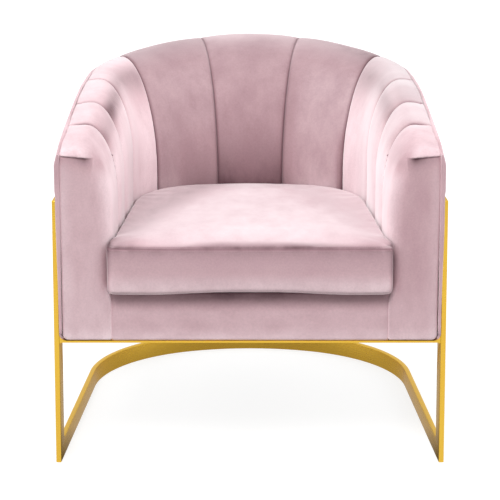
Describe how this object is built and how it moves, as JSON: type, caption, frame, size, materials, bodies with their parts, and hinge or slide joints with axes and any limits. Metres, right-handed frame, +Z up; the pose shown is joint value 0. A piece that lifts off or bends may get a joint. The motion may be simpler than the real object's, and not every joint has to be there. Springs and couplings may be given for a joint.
{
  "type": "upholstered barrel armchair",
  "caption": "Barrel armchair with a channelled roll-over back and arms, a loose boxed seat cushion and a flat-bar metal hoop base with front uprights.",
  "frame": {"origin": "middle of the bounding box at floor level", "axes": "+Z up, +X towards the right of someone who looks at the front, the front faces -Y"},
  "size_m": [0.762, 0.805, 0.717],
  "materials": {
    "gilt_steel": "polished gold-coloured plating on steel flat bar",
    "zinc_steel": "zinc plated",
    "spring_steel": "oiled spring wire",
    "timber": "bare birch plywood",
    "hardboard": "bare hardboard",
    "felt": "matt felted wadding",
    "black_cloth": "matt non-woven cloth",
    "velvet": "soft short-pile velvet",
    "foam": "cut foam",
    "zip_tape": "woven tape"
  },
  "bodies": {
    "chair_frame": {"base_hoop": "gilt_steel", "upper_band": "gilt_steel", "front_crossbar": "gilt_steel", "upright_left": "gilt_steel", "upright_right": "gilt_steel", "crossbar_screw_1": "zinc_steel", "crossbar_screw_2": "zinc_steel", "crossbar_screw_3": "zinc_steel", "crossbar_screw_4": "zinc_steel", "upright_bolt_left_lower": "zinc_steel", "upright_bolt_left_upper": "zinc_steel", "upright_bolt_right_lower": "zinc_steel", "upright_bolt_right_upper": "zinc_steel", "spring_clip_front": "zinc_steel", "spring_clip_rear": "zinc_steel", "seat_spring_1": "spring_steel", "seat_spring_2": "spring_steel", "seat_spring_3": "spring_steel", "seat_spring_4": "spring_steel", "base_board": "timber", "arm_post_left": "timber", "arm_post_right": "timber", "arm_rib_left": "timber", "arm_rib_right": "timber", "corner_rib_left": "timber", "corner_rib_right": "timber", "back_rib_left": "timber", "back_rib_right": "timber", "top_board": "timber", "side_rail_left": "timber", "side_rail_right": "timber", "rear_rail": "timber", "front_rail": "timber", "corner_block_left": "timber", "corner_block_right": "timber", "outer_panel": "hardboard", "inner_panel_left": "hardboard", "inner_panel_right": "hardboard", "inner_panel_back": "hardboard", "deck_pad": "felt", "dust_cover": "black_cloth", "outer_cover": "velvet", "front_panel": "velvet", "arm_facing_left": "velvet", "arm_facing_right": "velvet", "channel_pad_01": "velvet", "channel_pad_02": "velvet", "channel_pad_03": "velvet", "channel_pad_04": "velvet", "channel_pad_05": "velvet", "channel_pad_06": "velvet", "channel_pad_07": "velvet", "channel_pad_08": "velvet", "channel_pad_09": "velvet", "channel_pad_10": "velvet", "channel_pad_11": "velvet"},
    "seat_cushion": {"cushion_cover": "velvet", "cushion_core": "foam", "cushion_zip": "zip_tape"}
  },
  "joints": [
    {"name": "cushion_lift", "type": "slide", "parent": "chair_frame", "child": "seat_cushion", "axis": [0, 0, 1], "range_m": [0, 0.4]}
  ]
}
